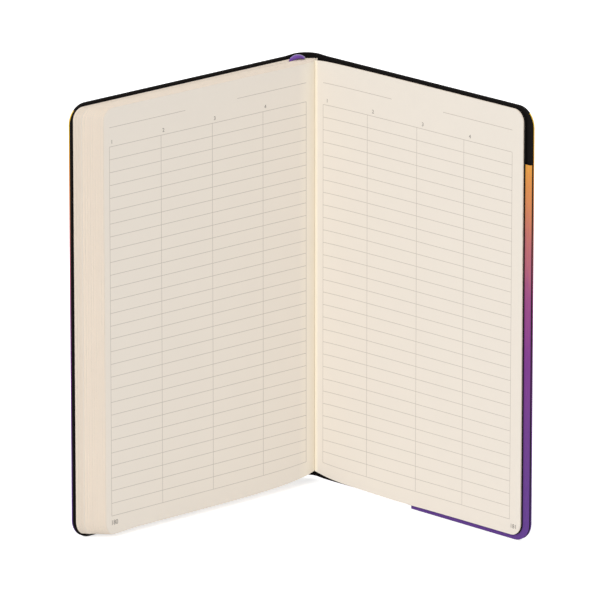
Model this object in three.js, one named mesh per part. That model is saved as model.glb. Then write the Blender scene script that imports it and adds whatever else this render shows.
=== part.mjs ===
// A softcover notebook, standing open on its lower edges.
// Millimetres, +Z up. The spine is at the back, the book opens towards -Y, and the
// origin is on the ground, in the middle of the spine's printed skin.

import * as THREE from 'three';

// Cover
const coverHeight = 180;
const panelWidth = 112.4;
const coverCorner = 8;
const spineWidth = 13;
const creaseWidth = 4;
const spineTurn = 50;
const frontOpening = 49.4;
const backOpening = 46.5;
const skinThickness = 0.6;
const cardThickness = 0.4;
const pastedownThickness = 0.15;
const glueLine = 0.05;
const creaseSlit = 0.35;

// Pages
const leafThickness = 0.095;
const leavesPerSection = 8;
const sectionCount = 11;
const looseLeft = ['leaf_177_178', 'leaf_179_180'];
const rightStack = ['leaf_183_184', 'leaf_185_186', 'leaf_187_188', 'leaf_189_190', 'leaf_191_192'];
const turningLeaf = 'leaf_181_182';
const foreEdgeReach = 1;
const leafWidth = panelWidth + foreEdgeReach;
const headSquare = 1.1;
const tailSquare = 2.6;
const pageCorner = 5;
const sectionAir = 0.06;
const leafAir = 0.03;
const foreEdgeSqueeze = 0.07;
const firstLeafBend = 0.3;
const flyleafThickness = 0.12;
const flyleafAir = 0.18;
const flexMargin = 4;
const flexGap = 0.3;
const blockBackX = -6.2;

// Back of the sewn block
const foldDepth = 0.6;
const threadThickness = 0.2;
const threadWidth = 0.8;
const threadStations = 6;
const threadFromEdge = 14;
const liningThickness = 0.3;
const liningFromEdge = 4;
const liningFromSide = 0.6;
const backGap = 0.05;
const creaseAir = 0.1;

// Pocket on the back cover
const pocketDrop = 23;
const pocketInset = 49;
const pocketThickness = 0.3;
const pocketEdge = 0.3;
const pleatWidth = 7;
const pleatThickness = 0.45;
const pleatGap = 0.06;

// Ribbon marker
const ribbonWidth = 6.5;
const ribbonThickness = 0.25;
const ribbonAfter = 'section_03';
const ribbonSlit = 0.5;
const ribbonSetback = 0.5;
const ribbonShift = 0.4;
const ribbonTail = 150;
const ribbonGlued = 14;
const ribbonRise = 0.85;

// Facets
const cornerSteps = 6;
const spineSteps = 12;
const bendSteps = 6;
const ribbonAcross = 6;
const ribbonOver = 8;

const radians = THREE.MathUtils.degToRad;
const frontAngle = radians(frontOpening);
const backAngle = radians(backOpening);
const turnAngle = radians(spineTurn);
const spineRadius = spineWidth / 2 / turnAngle;
const spineBackY = skinThickness / 2;
const creaseS = spineWidth / 2 + creaseWidth;
const pageTop = coverHeight - headSquare;
const pageBottom = tailSquare;

// Plan view: a cover has its spine strip bent in an arc, a straight crease zone on
// each side of it, and a straight panel. side is -1 for the front cover, 1 for the back.
const panelAlong = (side) => {
  const angle = side < 0 ? frontAngle : backAngle;
  return new THREE.Vector2(side * Math.sin(angle), -Math.cos(angle));
};
const panelInward = (side) => {
  const angle = side < 0 ? frontAngle : backAngle;
  return new THREE.Vector2(-side * Math.cos(angle), -Math.sin(angle));
};
const creaseAlong = (side) => new THREE.Vector2(side * Math.cos(turnAngle), -Math.sin(turnAngle));

function spinePoint(s, depth) {
  const side = s < 0 ? -1 : 1;
  const run = Math.abs(s);
  const angle = Math.min(run / spineRadius, turnAngle);
  const radius = spineRadius - depth;
  const point = new THREE.Vector2(side * radius * Math.sin(angle), radius * Math.cos(angle));
  point.y += spineBackY - spineRadius;
  return point.addScaledVector(creaseAlong(side), Math.max(0, run - spineWidth / 2));
}

const creaseOuter = (side) => spinePoint(side * creaseS, 0);
const panelPoint = (side, u, depth) => creaseOuter(side)
  .addScaledVector(panelAlong(side), u)
  .addScaledVector(panelInward(side), depth);

// Depths below the cover's outer face
const cardDepth = skinThickness + glueLine;
const pastedownDepth = cardDepth + cardThickness + glueLine;
const coverThickness = pastedownDepth + pastedownThickness;
const frontFlyleafDepth = coverThickness + flyleafAir;
const firstLeafDepth = frontFlyleafDepth + flyleafThickness + flyleafAir;

// The bend of the left pages turns about the bend centre, just behind the first leaf.
const bendDepth = firstLeafDepth - firstLeafBend;
const frontCrease = creaseOuter(-1);
const frontInward = panelInward(-1);
const rootY = frontCrease.y
  + (bendDepth - (blockBackX - frontCrease.x) * frontInward.x) / frontInward.y;
const bendCentre = new THREE.Vector2(blockBackX, rootY);

// Offsets of the sections and loose leaves from the bend centre
const sectionThickness = leavesPerSection * leafThickness;
const sections = [];
let offset = firstLeafBend;
for (let i = 1; i <= sectionCount; i += 1) {
  const name = `section_${String(i).padStart(2, '0')}`;
  sections.push({ name, near: offset, far: offset + sectionThickness });
  offset += sectionThickness + (name === ribbonAfter ? ribbonSlit : sectionAir);
}
for (const name of looseLeft) {
  sections.push({ name, near: offset, far: offset + leafThickness });
  offset += leafThickness + leafAir;
}
const leftThickness = offset;
const gutter = new THREE.Vector2(blockBackX + leftThickness, rootY);

// A closed sheet: two faces of columns by rows, joined by a rim all round.
// point(i, j, face) gives the vertex of column i and row j on face 0 or 1.
function sheet(columns, rows, point) {
  const vertices = [];
  const index = (i, j, face) => (i * rows + j) * 2 + face;
  for (let i = 0; i < columns; i += 1) {
    for (let j = 0; j < rows; j += 1) {
      vertices.push(...point(i, j, 0), ...point(i, j, 1));
    }
  }
  const triangles = [];
  const quad = (a, b, c, d) => triangles.push(a, b, c, a, c, d);
  for (let i = 0; i + 1 < columns; i += 1) {
    for (let j = 0; j + 1 < rows; j += 1) {
      quad(index(i, j, 0), index(i + 1, j, 0), index(i + 1, j + 1, 0), index(i, j + 1, 0));
      quad(index(i, j, 1), index(i, j + 1, 1), index(i + 1, j + 1, 1), index(i + 1, j, 1));
    }
    const last = rows - 1;
    quad(index(i, 0, 0), index(i, 0, 1), index(i + 1, 0, 1), index(i + 1, 0, 0));
    quad(index(i, last, 0), index(i + 1, last, 0), index(i + 1, last, 1), index(i, last, 1));
  }
  for (let j = 0; j + 1 < rows; j += 1) {
    const last = columns - 1;
    quad(index(0, j, 0), index(0, j + 1, 0), index(0, j + 1, 1), index(0, j, 1));
    quad(index(last, j, 0), index(last, j, 1), index(last, j + 1, 1), index(last, j + 1, 0));
  }
  return outward(vertices, triangles);
}

// Turns the triangles round where they face into the body
function outward(vertices, triangles) {
  const corner = (k) => new THREE.Vector3().fromArray(vertices, 3 * k);
  let volume = 0;
  for (let t = 0; t < triangles.length; t += 3) {
    const [a, b, c] = triangles.slice(t, t + 3).map(corner);
    volume += a.dot(b.cross(c));
  }
  if (volume < 0) triangles.reverse();
  const geometry = new THREE.BufferGeometry();
  geometry.setAttribute('position', new THREE.Float32BufferAttribute(vertices, 3));
  geometry.setIndex(triangles);
  geometry.computeVertexNormals();
  return geometry;
}

// Stations along a panel or leaf, with the height that its round corners take off.
// radii are those of the lower and upper corner at the far edge.
function stations(start, end, lowerRadius, upperRadius, straight = 1) {
  const list = [];
  const radius = Math.max(lowerRadius, upperRadius);
  for (let i = 0; i < straight; i += 1) {
    list.push(start + ((end - radius - start) * i) / straight);
  }
  for (let i = 0; i <= (radius > 0 ? cornerSteps : 0); i += 1) {
    list.push(end - radius + radius * Math.sin((i / cornerSteps) * Math.PI / 2));
  }
  const cut = (at, r) => {
    const reach = at - (end - r);
    return reach > 0 ? r - Math.sqrt(Math.max(0, r * r - reach * reach)) : 0;
  };
  return list.map((at) => ({ at, lower: cut(at, lowerRadius), upper: cut(at, upperRadius) }));
}

// A plate standing on edge: plan(at, face) is its plan, bottom and top its heights
function upright(list, plan, bottom, top) {
  return sheet(list.length, 2, (i, j, face) => {
    const { at, lower, upper } = list[i];
    const p = plan(at, face);
    return [p.x, p.y, j ? top - upper : bottom + lower];
  });
}

const notebook = new THREE.Group();
function piece(name, geometry, finish) {
  const mesh = new THREE.Mesh(geometry, new THREE.MeshStandardMaterial(finish));
  mesh.name = name;
  notebook.add(mesh);
}

const printedSkin = { color: 0x6a3a88, roughness: 0.55, metalness: 0 };
const blackCard = { color: 0x2a2524, roughness: 0.8, metalness: 0 };
const blackPaper = { color: 0x26211f, roughness: 0.9, metalness: 0 };
const cream = { color: 0xe9e0cf, roughness: 0.9, metalness: 0 };
const gauze = { color: 0xd8d2c4, roughness: 1, metalness: 0 };
const purpleSatin = { color: 0x5a2a8a, roughness: 0.45, metalness: 0 };
const pocketPrint = { color: 0x7b4a90, roughness: 0.6, metalness: 0 };

// Cover: a printed skin, a card under it and a black lining, all trimmed flush
function panelLayer(side, depth, thickness) {
  const list = stations(creaseSlit, panelWidth, coverCorner, coverCorner);
  const plan = (u, face) => panelPoint(side, u, depth + face * thickness);
  return upright(list, plan, 0, coverHeight);
}
function spineLayer(depth, thickness, reach) {
  const half = spineWidth / 2;
  const list = [];
  for (let i = 0; i <= spineSteps; i += 1) list.push(-half + (spineWidth * i) / spineSteps);
  if (reach > half) {
    list.unshift(-reach);
    list.push(reach);
  }
  const marks = list.map((at) => ({ at, lower: 0, upper: 0 }));
  return upright(marks, (s, face) => spinePoint(s, depth + face * thickness), 0, coverHeight);
}

piece('spine_skin', spineLayer(0, skinThickness, creaseS - creaseSlit), printedSkin);
piece('spine_card', spineLayer(cardDepth, cardThickness, 0), blackCard);
piece('spine_liner', spineLayer(pastedownDepth, pastedownThickness, creaseS - creaseSlit), blackPaper);
for (const [name, side] of [['front', -1], ['back', 1]]) {
  piece(`${name}_cover_skin`, panelLayer(side, 0, skinThickness), printedSkin);
  piece(`${name}_cover_card`, panelLayer(side, cardDepth, cardThickness), blackCard);
  piece(`${name}_pastedown`, panelLayer(side, pastedownDepth, pastedownThickness), blackPaper);
}

// Left pages: each leaf leaves the sewn back along -Y, bends round the bend centre to
// the front cover's angle, and runs straight to its fore-edge.
const frontAlong = panelAlong(-1);
function leftPoint(t, u) {
  const run = leafWidth - t * frontAngle;
  const squeeze = 1 - foreEdgeSqueeze * Math.max(0, u) / run;
  return bendCentre.clone()
    .addScaledVector(frontInward, t * squeeze)
    .addScaledVector(frontAlong, u);
}
function leftLeaf({ near, far }) {
  const longest = leafWidth - near * frontAngle;
  const list = stations(flexMargin, longest, pageCorner, pageCorner, 2);
  const plan = (at, face) => {
    const t = face ? far : near;
    const share = (at - flexMargin) / (longest - flexMargin);
    const run = leafWidth - t * frontAngle;
    return leftPoint(t, flexMargin + share * (run - flexMargin));
  };
  return upright(list, plan, pageBottom, pageTop);
}
for (const leaf of sections) piece(leaf.name, leftLeaf(leaf), cream);

const flyleafNear = firstLeafBend - flyleafAir - flyleafThickness;
piece('front_flyleaf', leftLeaf({ near: flyleafNear, far: flyleafNear + flyleafThickness }), blackPaper);

// The inner margin of a leaf or section, from its fold at the sewn back to where the
// flat part starts: this is the stretch that bends when the pages turn.
const leftRoot = (t, s) => {
  if (s <= 0) return bendCentre.clone().add(new THREE.Vector2(t, -s));
  const angle = Math.min(s / t, frontAngle);
  return bendCentre.clone()
    .add(new THREE.Vector2(t * Math.cos(angle), -t * Math.sin(angle)))
    .addScaledVector(frontAlong, Math.max(0, s - t * frontAngle));
};
function leftMargin({ near, far }) {
  const marks = [{ at: -1, lower: 0, upper: 0 }];
  for (let i = 0; i <= bendSteps; i += 1) marks.push({ at: i / bendSteps, lower: 0, upper: 0 });
  marks.push({ at: 2, lower: 0, upper: 0 });
  const plan = (at, face) => {
    const t = face ? far : near;
    if (at < 0) return leftRoot(t, at * foldDepth);
    const bend = Math.min(at, 1) * t * frontAngle;
    return leftRoot(t, bend + Math.max(0, at - 1) * (flexMargin - flexGap));
  };
  return upright(marks, plan, pageBottom, pageTop);
}
for (const leaf of sections) piece(`${leaf.name}_margin`, leftMargin(leaf), cream);

// Right pages: straight from the gutter along the back cover
const backAlong = panelAlong(1);
const backInward = panelInward(1);
const rightPoint = (p, u) => gutter.clone()
  .addScaledVector(backInward, -p)
  .addScaledVector(backAlong, u + p * Math.tan(backAngle));
function rightLeaf(near, far) {
  const list = stations(flexMargin, leafWidth, pageCorner, pageCorner);
  return upright(list, (u, face) => rightPoint(face ? far : near, u), pageBottom, pageTop);
}
const rightLeaves = [];
let rightOffset = leafAir;
for (const name of [turningLeaf, ...rightStack]) {
  rightLeaves.push({ name, near: rightOffset, far: rightOffset + leafThickness });
  rightOffset += leafThickness + leafAir;
}
for (const { name, near, far } of rightLeaves) piece(name, rightLeaf(near, far), cream);
const rightThickness = rightOffset + flyleafThickness;
piece('back_flyleaf', rightLeaf(rightOffset, rightThickness), blackPaper);
const rightRootX = (p) => gutter.x + p / Math.cos(backAngle);

function rightMargin(near, far) {
  const marks = [-foldDepth, 0, flexMargin - flexGap].map((at) => ({ at, lower: 0, upper: 0 }));
  const plan = (at, face) => {
    const p = face ? far : near;
    if (at <= 0) return new THREE.Vector2(rightRootX(p), rootY - at);
    return rightPoint(p, at);
  };
  return upright(marks, plan, pageBottom, pageTop);
}
for (const { name, near, far } of rightLeaves) piece(`${name}_margin`, rightMargin(near, far), cream);

// The thread that joins the folds, up the back from station to station, and the gauze
// lining glued over it. On the left both stop just inside the cover's crease.
function slab(x0, x1, y0, y1, z0, z1) {
  const geometry = new THREE.BoxGeometry(x1 - x0, y1 - y0, z1 - z0);
  geometry.translate((x0 + x1) / 2, (y0 + y1) / 2, (z0 + z1) / 2);
  return geometry;
}
const threadY = rootY + foldDepth + backGap;
const liningY = threadY + threadThickness + backGap;
const creaseStart = spinePoint(spineWidth / 2, coverThickness);
const halfInside = (y) => creaseStart.x + (creaseStart.y - y) / Math.tan(turnAngle);
const backLeft = creaseAir + threadWidth / 2 - halfInside(threadY + threadThickness);
const backRight = rightRootX(rightThickness) - liningFromSide;
function sewingThread() {
  const span = pageTop - pageBottom - 2 * threadFromEdge;
  const path = [];
  for (let i = 0; i < threadStations; i += 1) {
    const z = pageBottom + threadFromEdge + (span * i) / (threadStations - 1);
    const ends = [new THREE.Vector2(backLeft, z), new THREE.Vector2(backRight, z)];
    path.push(...(i % 2 ? ends.reverse() : ends));
  }
  const left = (k) => {
    const way = path[k + 1].clone().sub(path[k]).normalize();
    return new THREE.Vector2(-way.y, way.x);
  };
  return sheet(path.length, 2, (i, j, face) => {
    const aside = i > 0 ? left(i - 1) : left(0);
    if (i > 0 && i + 1 < path.length) aside.add(left(i));
    const p = path[i].clone().addScaledVector(aside, (j - 0.5) * threadWidth);
    return [p.x, threadY + face * threadThickness, p.y];
  });
}
piece('sewing_thread', sewingThread(), gauze);
piece('spine_lining', slab(
  backLeft,
  backRight,
  liningY,
  liningY + liningThickness,
  pageBottom + liningFromEdge,
  pageTop - liningFromEdge,
), gauze);

// Pocket: a printed panel on the back cover, open at the top, with a folded pleat of
// black paper under each side
const pleatDepth = coverThickness + pleatGap;
const pocketDepth = pleatDepth + pleatThickness + pleatGap;
const pocketTop = coverHeight - pocketDrop;
function pocketPanel() {
  const list = stations(pocketInset, panelWidth - pocketEdge, coverCorner - pocketEdge, 0);
  const plan = (u, face) => panelPoint(1, u, pocketDepth + face * pocketThickness);
  return upright(list, plan, pocketEdge, pocketTop);
}
piece('pocket_panel', pocketPanel(), pocketPrint);
function pocketPleat(start) {
  const list = stations(start, start + pleatWidth, 0, 0);
  const plan = (u, face) => panelPoint(1, u, pleatDepth + face * pleatThickness);
  return upright(list, plan, pocketEdge + coverCorner, pocketTop - pocketEdge);
}
piece('pocket_spine_pleat', pocketPleat(pocketInset + pocketEdge), blackPaper);
piece('pocket_edge_pleat', pocketPleat(panelWidth - 2 * pocketEdge - pleatWidth), blackPaper);

// Ribbon marker: glued to the back of the block, over its head, and down between two
// sections. Across the back its width lies along X, and in the slit it follows the leaves.
function ribbon() {
  const slit = sections.find(({ name }) => name === ribbonAfter).far + ribbonSlit / 2;
  const backY = liningY + liningThickness + backGap + ribbonThickness / 2;
  const behind = (k) => new THREE.Vector2(backLeft + ribbonShift + ribbonWidth * (1 - k), backY);
  const inSlit = (k) => leftRoot(slit, ribbonWidth * k - ribbonSetback);
  const slitNormal = (k) => {
    const angle = Math.min(Math.max(0, ribbonWidth * k - ribbonSetback) / slit, frontAngle);
    return new THREE.Vector3(Math.cos(angle), -Math.sin(angle), 0);
  };
  const steps = [{ over: 0, z: pageTop - ribbonGlued }];
  for (let i = 0; i <= ribbonOver; i += 1) {
    const over = i / ribbonOver;
    steps.push({ over, z: pageTop + ribbonThickness / 2 + ribbonRise * Math.sin(Math.PI * over) });
  }
  steps.push({ over: 1, z: pageTop - ribbonTail });
  return sheet(steps.length, ribbonAcross + 1, (i, j, face) => {
    const { over, z } = steps[i];
    const k = j / ribbonAcross;
    const across = (1 - Math.cos(Math.PI * over)) / 2;
    const p = behind(k).lerp(inSlit(k), across);
    const flat = new THREE.Vector3(0, 1, 0).lerp(slitNormal(k).negate(), across).normalize();
    const normal = flat.multiplyScalar(Math.cos(Math.PI * over));
    normal.z += Math.sin(Math.PI * over);
    const q = new THREE.Vector3(p.x, p.y, z).addScaledVector(normal, (face - 0.5) * ribbonThickness);
    return q.toArray();
  });
}
piece('ribbon_marker', ribbon(), purpleSatin);

console.log(`gutter at x ${gutter.x.toFixed(2)} y ${gutter.y.toFixed(2)}`);
console.log(`left stack ${leftThickness.toFixed(2)} thick, right stack ${rightThickness.toFixed(2)}`);

export default notebook;
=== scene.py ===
# %% [markdown]
# # A softcover notebook standing open
#
# The notebook stands on the lower edges of its cover, open near its end. Its cover is a
# thin printed skin on black card, bent round a sewn block of 96 cream leaves. This file
# dresses a fixed frame, which already holds every piece at its real size, with the finer
# shapes and the finishes that make it look like paper, card and satin.
#
# The frame is loaded first.

# %% Load the frame
import math
import random

import bpy
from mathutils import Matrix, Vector


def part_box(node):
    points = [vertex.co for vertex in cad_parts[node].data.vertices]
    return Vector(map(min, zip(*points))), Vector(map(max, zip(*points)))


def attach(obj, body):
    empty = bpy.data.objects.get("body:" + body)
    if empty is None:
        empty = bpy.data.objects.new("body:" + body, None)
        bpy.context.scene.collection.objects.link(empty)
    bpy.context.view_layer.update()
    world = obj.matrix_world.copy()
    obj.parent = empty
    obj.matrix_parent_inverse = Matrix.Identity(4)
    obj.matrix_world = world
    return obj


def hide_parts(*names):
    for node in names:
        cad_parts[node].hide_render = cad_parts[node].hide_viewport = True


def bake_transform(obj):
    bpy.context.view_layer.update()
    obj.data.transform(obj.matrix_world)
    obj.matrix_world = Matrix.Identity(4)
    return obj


MM = 0.001

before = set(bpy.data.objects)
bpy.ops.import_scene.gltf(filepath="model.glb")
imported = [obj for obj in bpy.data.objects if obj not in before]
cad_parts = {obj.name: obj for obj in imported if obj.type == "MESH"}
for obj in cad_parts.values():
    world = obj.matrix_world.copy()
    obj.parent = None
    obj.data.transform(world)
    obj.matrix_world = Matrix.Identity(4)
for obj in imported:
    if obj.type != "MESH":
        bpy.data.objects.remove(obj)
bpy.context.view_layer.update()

# %% [markdown]
# ## The camera
#
# The view is from the front and a little above. A short lens close by would show it too,
# but its uprights would lean. A long lens from over three metres away keeps them almost
# parallel. Place, tilt and lens were fitted to the corners of the notebook.

# %% Place the camera
CAMERA_PLACE = (-2.5 * MM, -3440.7 * MM, 1134.7 * MM)
CAMERA_TILT = 72.894
CAMERA_LENS = 532.95
SENSOR_WIDTH = 36

camera_data = bpy.data.cameras.new("camera")
camera_data.lens = CAMERA_LENS
camera_data.sensor_width = SENSOR_WIDTH
camera = bpy.data.objects.new("camera", camera_data)
camera.location = CAMERA_PLACE
camera.rotation_euler = (math.radians(CAMERA_TILT), 0, 0)
bpy.context.scene.collection.objects.link(camera)
bpy.context.scene.camera = camera
print("camera tilted", CAMERA_TILT, "degrees from straight down")

# %% [markdown]
# ## Sizes
#
# The cover is drawn in plan, seen from above: the spine strip is bent in an arc, a crease
# zone on each side of it runs straight, and each panel runs straight from its crease.
# Depths are measured inwards from the cover's outer face. The values are the frame's own,
# written in millimetres.

# %% The driving sizes
COVER_HEIGHT = 180 * MM
PANEL_WIDTH = 112.4 * MM
COVER_CORNER = 8 * MM
SPINE_WIDTH = 13 * MM
CREASE_WIDTH = 4 * MM
SPINE_TURN = math.radians(50)
FRONT_ANGLE = math.radians(49.4)
BACK_ANGLE = math.radians(46.5)
SKIN_THICKNESS = 0.6 * MM
LINING_DEPTH = 1.1 * MM
LINING_THICKNESS = 0.15 * MM
COVER_THICKNESS = LINING_DEPTH + LINING_THICKNESS
SPINE_RADIUS = SPINE_WIDTH / 2 / SPINE_TURN
CREASE_S = SPINE_WIDTH / 2 + CREASE_WIDTH

LEAF_WIDTH = PANEL_WIDTH + 1 * MM
LEAF_PITCH = 0.095 * MM
LEAVES_PER_SECTION = 8
PAGE_BOTTOM = 2.6 * MM
PAGE_TOP = COVER_HEIGHT - 1.1 * MM
PAGE_CORNER = 5 * MM
FOLD_DEPTH = 0.6 * MM
print(f"panel {PANEL_WIDTH / MM:.1f} mm, leaf {LEAF_WIDTH / MM:.1f} mm wide")

# %% [markdown]
# The bent cover could be pushed about by hand until it looks right. Here each point of it
# is named by how far along the cover it lies and how deep, and short functions say where
# that is in plan. So every layer keeps its true length and its distance from the next one.
# `side` is -1 for the front cover and 1 for the back cover.

# %% Plan of the cover
def along(side):
    """The direction of a cover from the spine outwards"""
    angle = FRONT_ANGLE if side < 0 else BACK_ANGLE
    return Vector((side * math.sin(angle), -math.cos(angle)))


def inward(side):
    """The direction from the outer face of a cover to its pages"""
    angle = FRONT_ANGLE if side < 0 else BACK_ANGLE
    return Vector((-side * math.cos(angle), -math.sin(angle)))


def spine_plan(s, depth):
    """A point of the spine or its creases, s from the middle, less than 0 at the front"""
    side = -1 if s < 0 else 1
    angle = min(abs(s) / SPINE_RADIUS, SPINE_TURN)
    radius = SPINE_RADIUS - depth
    point = Vector((side * radius * math.sin(angle), radius * math.cos(angle)))
    point.y += SKIN_THICKNESS / 2 - SPINE_RADIUS
    crease = Vector((side * math.cos(SPINE_TURN), -math.sin(SPINE_TURN)))
    return point + crease * max(0, abs(s) - SPINE_WIDTH / 2)


def panel_plan(side, u, depth):
    """A point of a panel, u from its crease"""
    return spine_plan(side * CREASE_S, 0) + along(side) * u + inward(side) * depth


def cover_plan(side, s, depth):
    """A point of the cover, s from the middle of the spine"""
    if s <= CREASE_S:
        return spine_plan(side * s, depth)
    return panel_plan(side, s - CREASE_S, depth)


for side in (-1, 1):
    far = cover_plan(side, CREASE_S + PANEL_WIDTH, 0)
    print(f"fore-edge of a cover at {far.x / MM:.1f}, {far.y / MM:.1f} mm")

# %% [markdown]
# The left pages bend round one centre, just behind the first leaf. A leaf that lies `t`
# away from this centre turns on an arc of that radius and then runs straight along the
# front cover, a little closer to its neighbours towards the fore-edge. Exact arcs round one
# centre are chosen because they keep the leaves from crossing, however many there are.

# %% Plan of the pages
FIRST_LEAF_BEND = 0.3 * MM
FLYLEAF_THICKNESS = 0.12 * MM
FLYLEAF_AIR = 0.18 * MM
BLOCK_BACK_X = -6.2 * MM
LEAF_AIR = 0.03 * MM
SECTION_AIR = 0.06 * MM
RIBBON_SLIT = 0.5 * MM
RIBBON_BEFORE = "section_04"
CLOSING_RUN = 40 * MM
SQUEEZE = 0.07
LEFT_SECTIONS = 11
RIGHT_PAGE, LAST_PAGE = 181, 192

first_leaf_depth = COVER_THICKNESS + FLYLEAF_AIR + FLYLEAF_THICKNESS + FLYLEAF_AIR
front_crease = spine_plan(-CREASE_S, 0)
bend_depth = first_leaf_depth - FIRST_LEAF_BEND
bend_reach = (BLOCK_BACK_X - front_crease.x) * inward(-1).x
root_y = front_crease.y + (bend_depth - bend_reach) / inward(-1).y
bend_centre = Vector((BLOCK_BACK_X, root_y))

sections = {}
offset = FIRST_LEAF_BEND
for number in range(1, LEFT_SECTIONS + 1):
    name = f"section_{number:02d}"
    if name == RIBBON_BEFORE:
        offset += RIBBON_SLIT - SECTION_AIR
    sections[name] = offset
    offset += LEAVES_PER_SECTION * LEAF_PITCH + SECTION_AIR
loose_left = {}
for name in ("leaf_177_178", "leaf_179_180"):
    loose_left[name] = offset
    offset += LEAF_PITCH + LEAF_AIR
gutter = Vector((BLOCK_BACK_X + offset, root_y))

right_leaves = {}
offset = LEAF_AIR
for number in range(RIGHT_PAGE, LAST_PAGE, 2):
    right_leaves[f"leaf_{number}_{number + 1}"] = offset
    offset += LEAF_PITCH + LEAF_AIR
back_flyleaf_near = offset
print(f"gutter at {gutter.x / MM:.2f}, {gutter.y / MM:.2f} mm")


def closing(t):
    """How far a leaf before the ribbon leans over to close its slit at the fore-edge"""
    slit = sections[RIBBON_BEFORE] - RIBBON_SLIT
    return (RIBBON_SLIT - SECTION_AIR) * t / slit if t < slit else 0


def left_plan(t, s):
    """A point of the left leaf at offset t, s along it from where its bend starts"""
    if s <= 0:
        return bend_centre + Vector((t, -s))
    angle = min(s / t, FRONT_ANGLE)
    point = bend_centre + Vector((t * math.cos(angle), -t * math.sin(angle)))
    run = LEAF_WIDTH - t * FRONT_ANGLE
    u = max(0, s - t * FRONT_ANGLE)
    lean = closing(t) * min(1, u / CLOSING_RUN) - t * SQUEEZE * u / run
    return point + along(-1) * u + inward(-1) * lean


# %% [markdown]
# Where the right leaves leave the fold they still lie against the left ones. They part
# from them at the valley of the gutter, a little in front of the fold, and come down on
# their stack in a soft curve. A straight leaf would be simpler, but would make the gutter a
# closed slit, and in a real book it is an open valley that catches the light.

# %% The valley of the gutter
VALLEY_DEPTH = 2.6 * MM
STEEP_PART = 0.6
STEEP_RUN = 4 * MM
SOFT_RUN = 50 * MM


def right_plan(p, x):
    """A point of the right leaf at offset p, x along it from the fold"""
    radius = gutter.x - bend_centre.x + p
    if x <= 0:
        return bend_centre + Vector((radius, -x))
    turn = min(x, VALLEY_DEPTH) / radius
    point = bend_centre + Vector((radius * math.cos(turn), -radius * math.sin(turn)))
    if x <= VALLEY_DEPTH:
        return point
    valley = point - gutter
    start, rise = valley.dot(along(1)), valley.dot(inward(1)) + p
    run = x - VALLEY_DEPTH
    share = STEEP_PART * math.exp(-run / STEEP_RUN)
    share += (1 - STEEP_PART) * max(0, 1 - run / SOFT_RUN) ** 2
    return gutter + along(1) * (start + run) + inward(1) * (rise * share - p)


def right_way(plan):
    """How far from the gutter a point of a right leaf looks to be, seen from the front"""
    return (plan.x - gutter.x) / along(1).x


valley = right_plan(0, VALLEY_DEPTH)
print(f"valley at {valley.x / MM:.2f}, {valley.y / MM:.2f} mm")

# %% [markdown]
# ## Helpers for modelling
#
# Every thin piece here is cut flat and then laid along its path, as a bookbinder cuts
# paper before bending it. Box modelling in place would work for one leaf, but not for
# ninety-six that have to fit each other. Operators act on all that is selected, so these
# two helpers come first: one selects objects and one selects vertices by their place.

# %% Select what is shaped
def only(*objects):
    """Select these objects alone, with the first one active"""
    bpy.ops.object.select_all(action="DESELECT")
    for obj in objects:
        obj.select_set(True)
    bpy.context.view_layer.objects.active = objects[0]


def select_vertices(obj, wanted):
    """Select the vertices that wanted(co) is true for, ready for edit mode"""
    bpy.ops.object.mode_set(mode="EDIT")
    bpy.ops.mesh.select_mode(type="VERT")
    bpy.ops.mesh.select_all(action="DESELECT")
    bpy.ops.object.mode_set(mode="OBJECT")
    for vertex in obj.data.vertices:
        vertex.select = wanted(vertex.co)
    bpy.ops.object.mode_set(mode="EDIT")


# %% [markdown]
# `flat_sheet` adds a plane, rounds its two far corners with a vertex bevel, and scores it
# with bisect wherever it will bend. Scoring only there keeps the mesh light, because a
# stretch that stays flat needs no cuts.

# %% Cut a flat sheet
CORNER_SEGMENTS = 8


def flat_sheet(name, start, end, bottom, top, corner=0, columns=(), rows=(), rounded_below=None):
    """A flat sheet on edge in the XZ plane, scored at the columns and rows.
    Its far corners are rounded, or only those that lie below rounded_below."""
    bpy.ops.object.select_all(action="DESELECT")
    bpy.ops.mesh.primitive_plane_add(
        size=1,
        location=((start + end) / 2, 0, (bottom + top) / 2),
        rotation=(math.pi / 2, 0, 0),
    )
    sheet = bpy.context.object
    sheet.name = name
    sheet.scale = (end - start, top - bottom, 1)
    bpy.ops.object.transform_apply(location=True, rotation=True, scale=True)
    if corner:
        limit = top + MM if rounded_below is None else rounded_below
        select_vertices(sheet, lambda co: co.x > (start + end) / 2 and co.z < limit)
        bpy.ops.mesh.bevel(offset=corner, segments=CORNER_SEGMENTS, affect="VERTICES")
        bpy.ops.object.mode_set(mode="OBJECT")
    bpy.ops.object.mode_set(mode="EDIT")
    for x in columns:
        bpy.ops.mesh.select_all(action="SELECT")
        bpy.ops.mesh.bisect(plane_co=(x, 0, 0), plane_no=(1, 0, 0))
    for z in rows:
        bpy.ops.mesh.select_all(action="SELECT")
        bpy.ops.mesh.bisect(plane_co=(0, 0, z), plane_no=(0, 0, 1))
    bpy.ops.object.mode_set(mode="OBJECT")
    return sheet


# %% [markdown]
# `copy_of` copies a cut sheet, `lay` moves each of its vertices from the flat sheet to its
# place, and `thicken` gives it its thickness with Solidify. Thickening comes last, so that
# the thickness stands square to the bent sheet everywhere.

# %% Lay a sheet and thicken it
SMOOTH_ANGLE = math.radians(35)


def copy_of(obj, name):
    """A copy with its own mesh"""
    twin = obj.copy()
    twin.data = obj.data.copy()
    twin.name = name
    bpy.context.scene.collection.objects.link(twin)
    return twin


def lay(obj, place):
    """Move every vertex of a flat sheet to place(along, height)"""
    for vertex in obj.data.vertices:
        vertex.co = place(vertex.co.x, vertex.co.z)
    obj.data.update()


def face_towards(obj, direction):
    """Turn the faces round if they look away from direction"""
    total = sum(p.normal.dot(Vector(direction)) * p.area for p in obj.data.polygons)
    if total < 0:
        obj.data.flip_normals()


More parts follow.
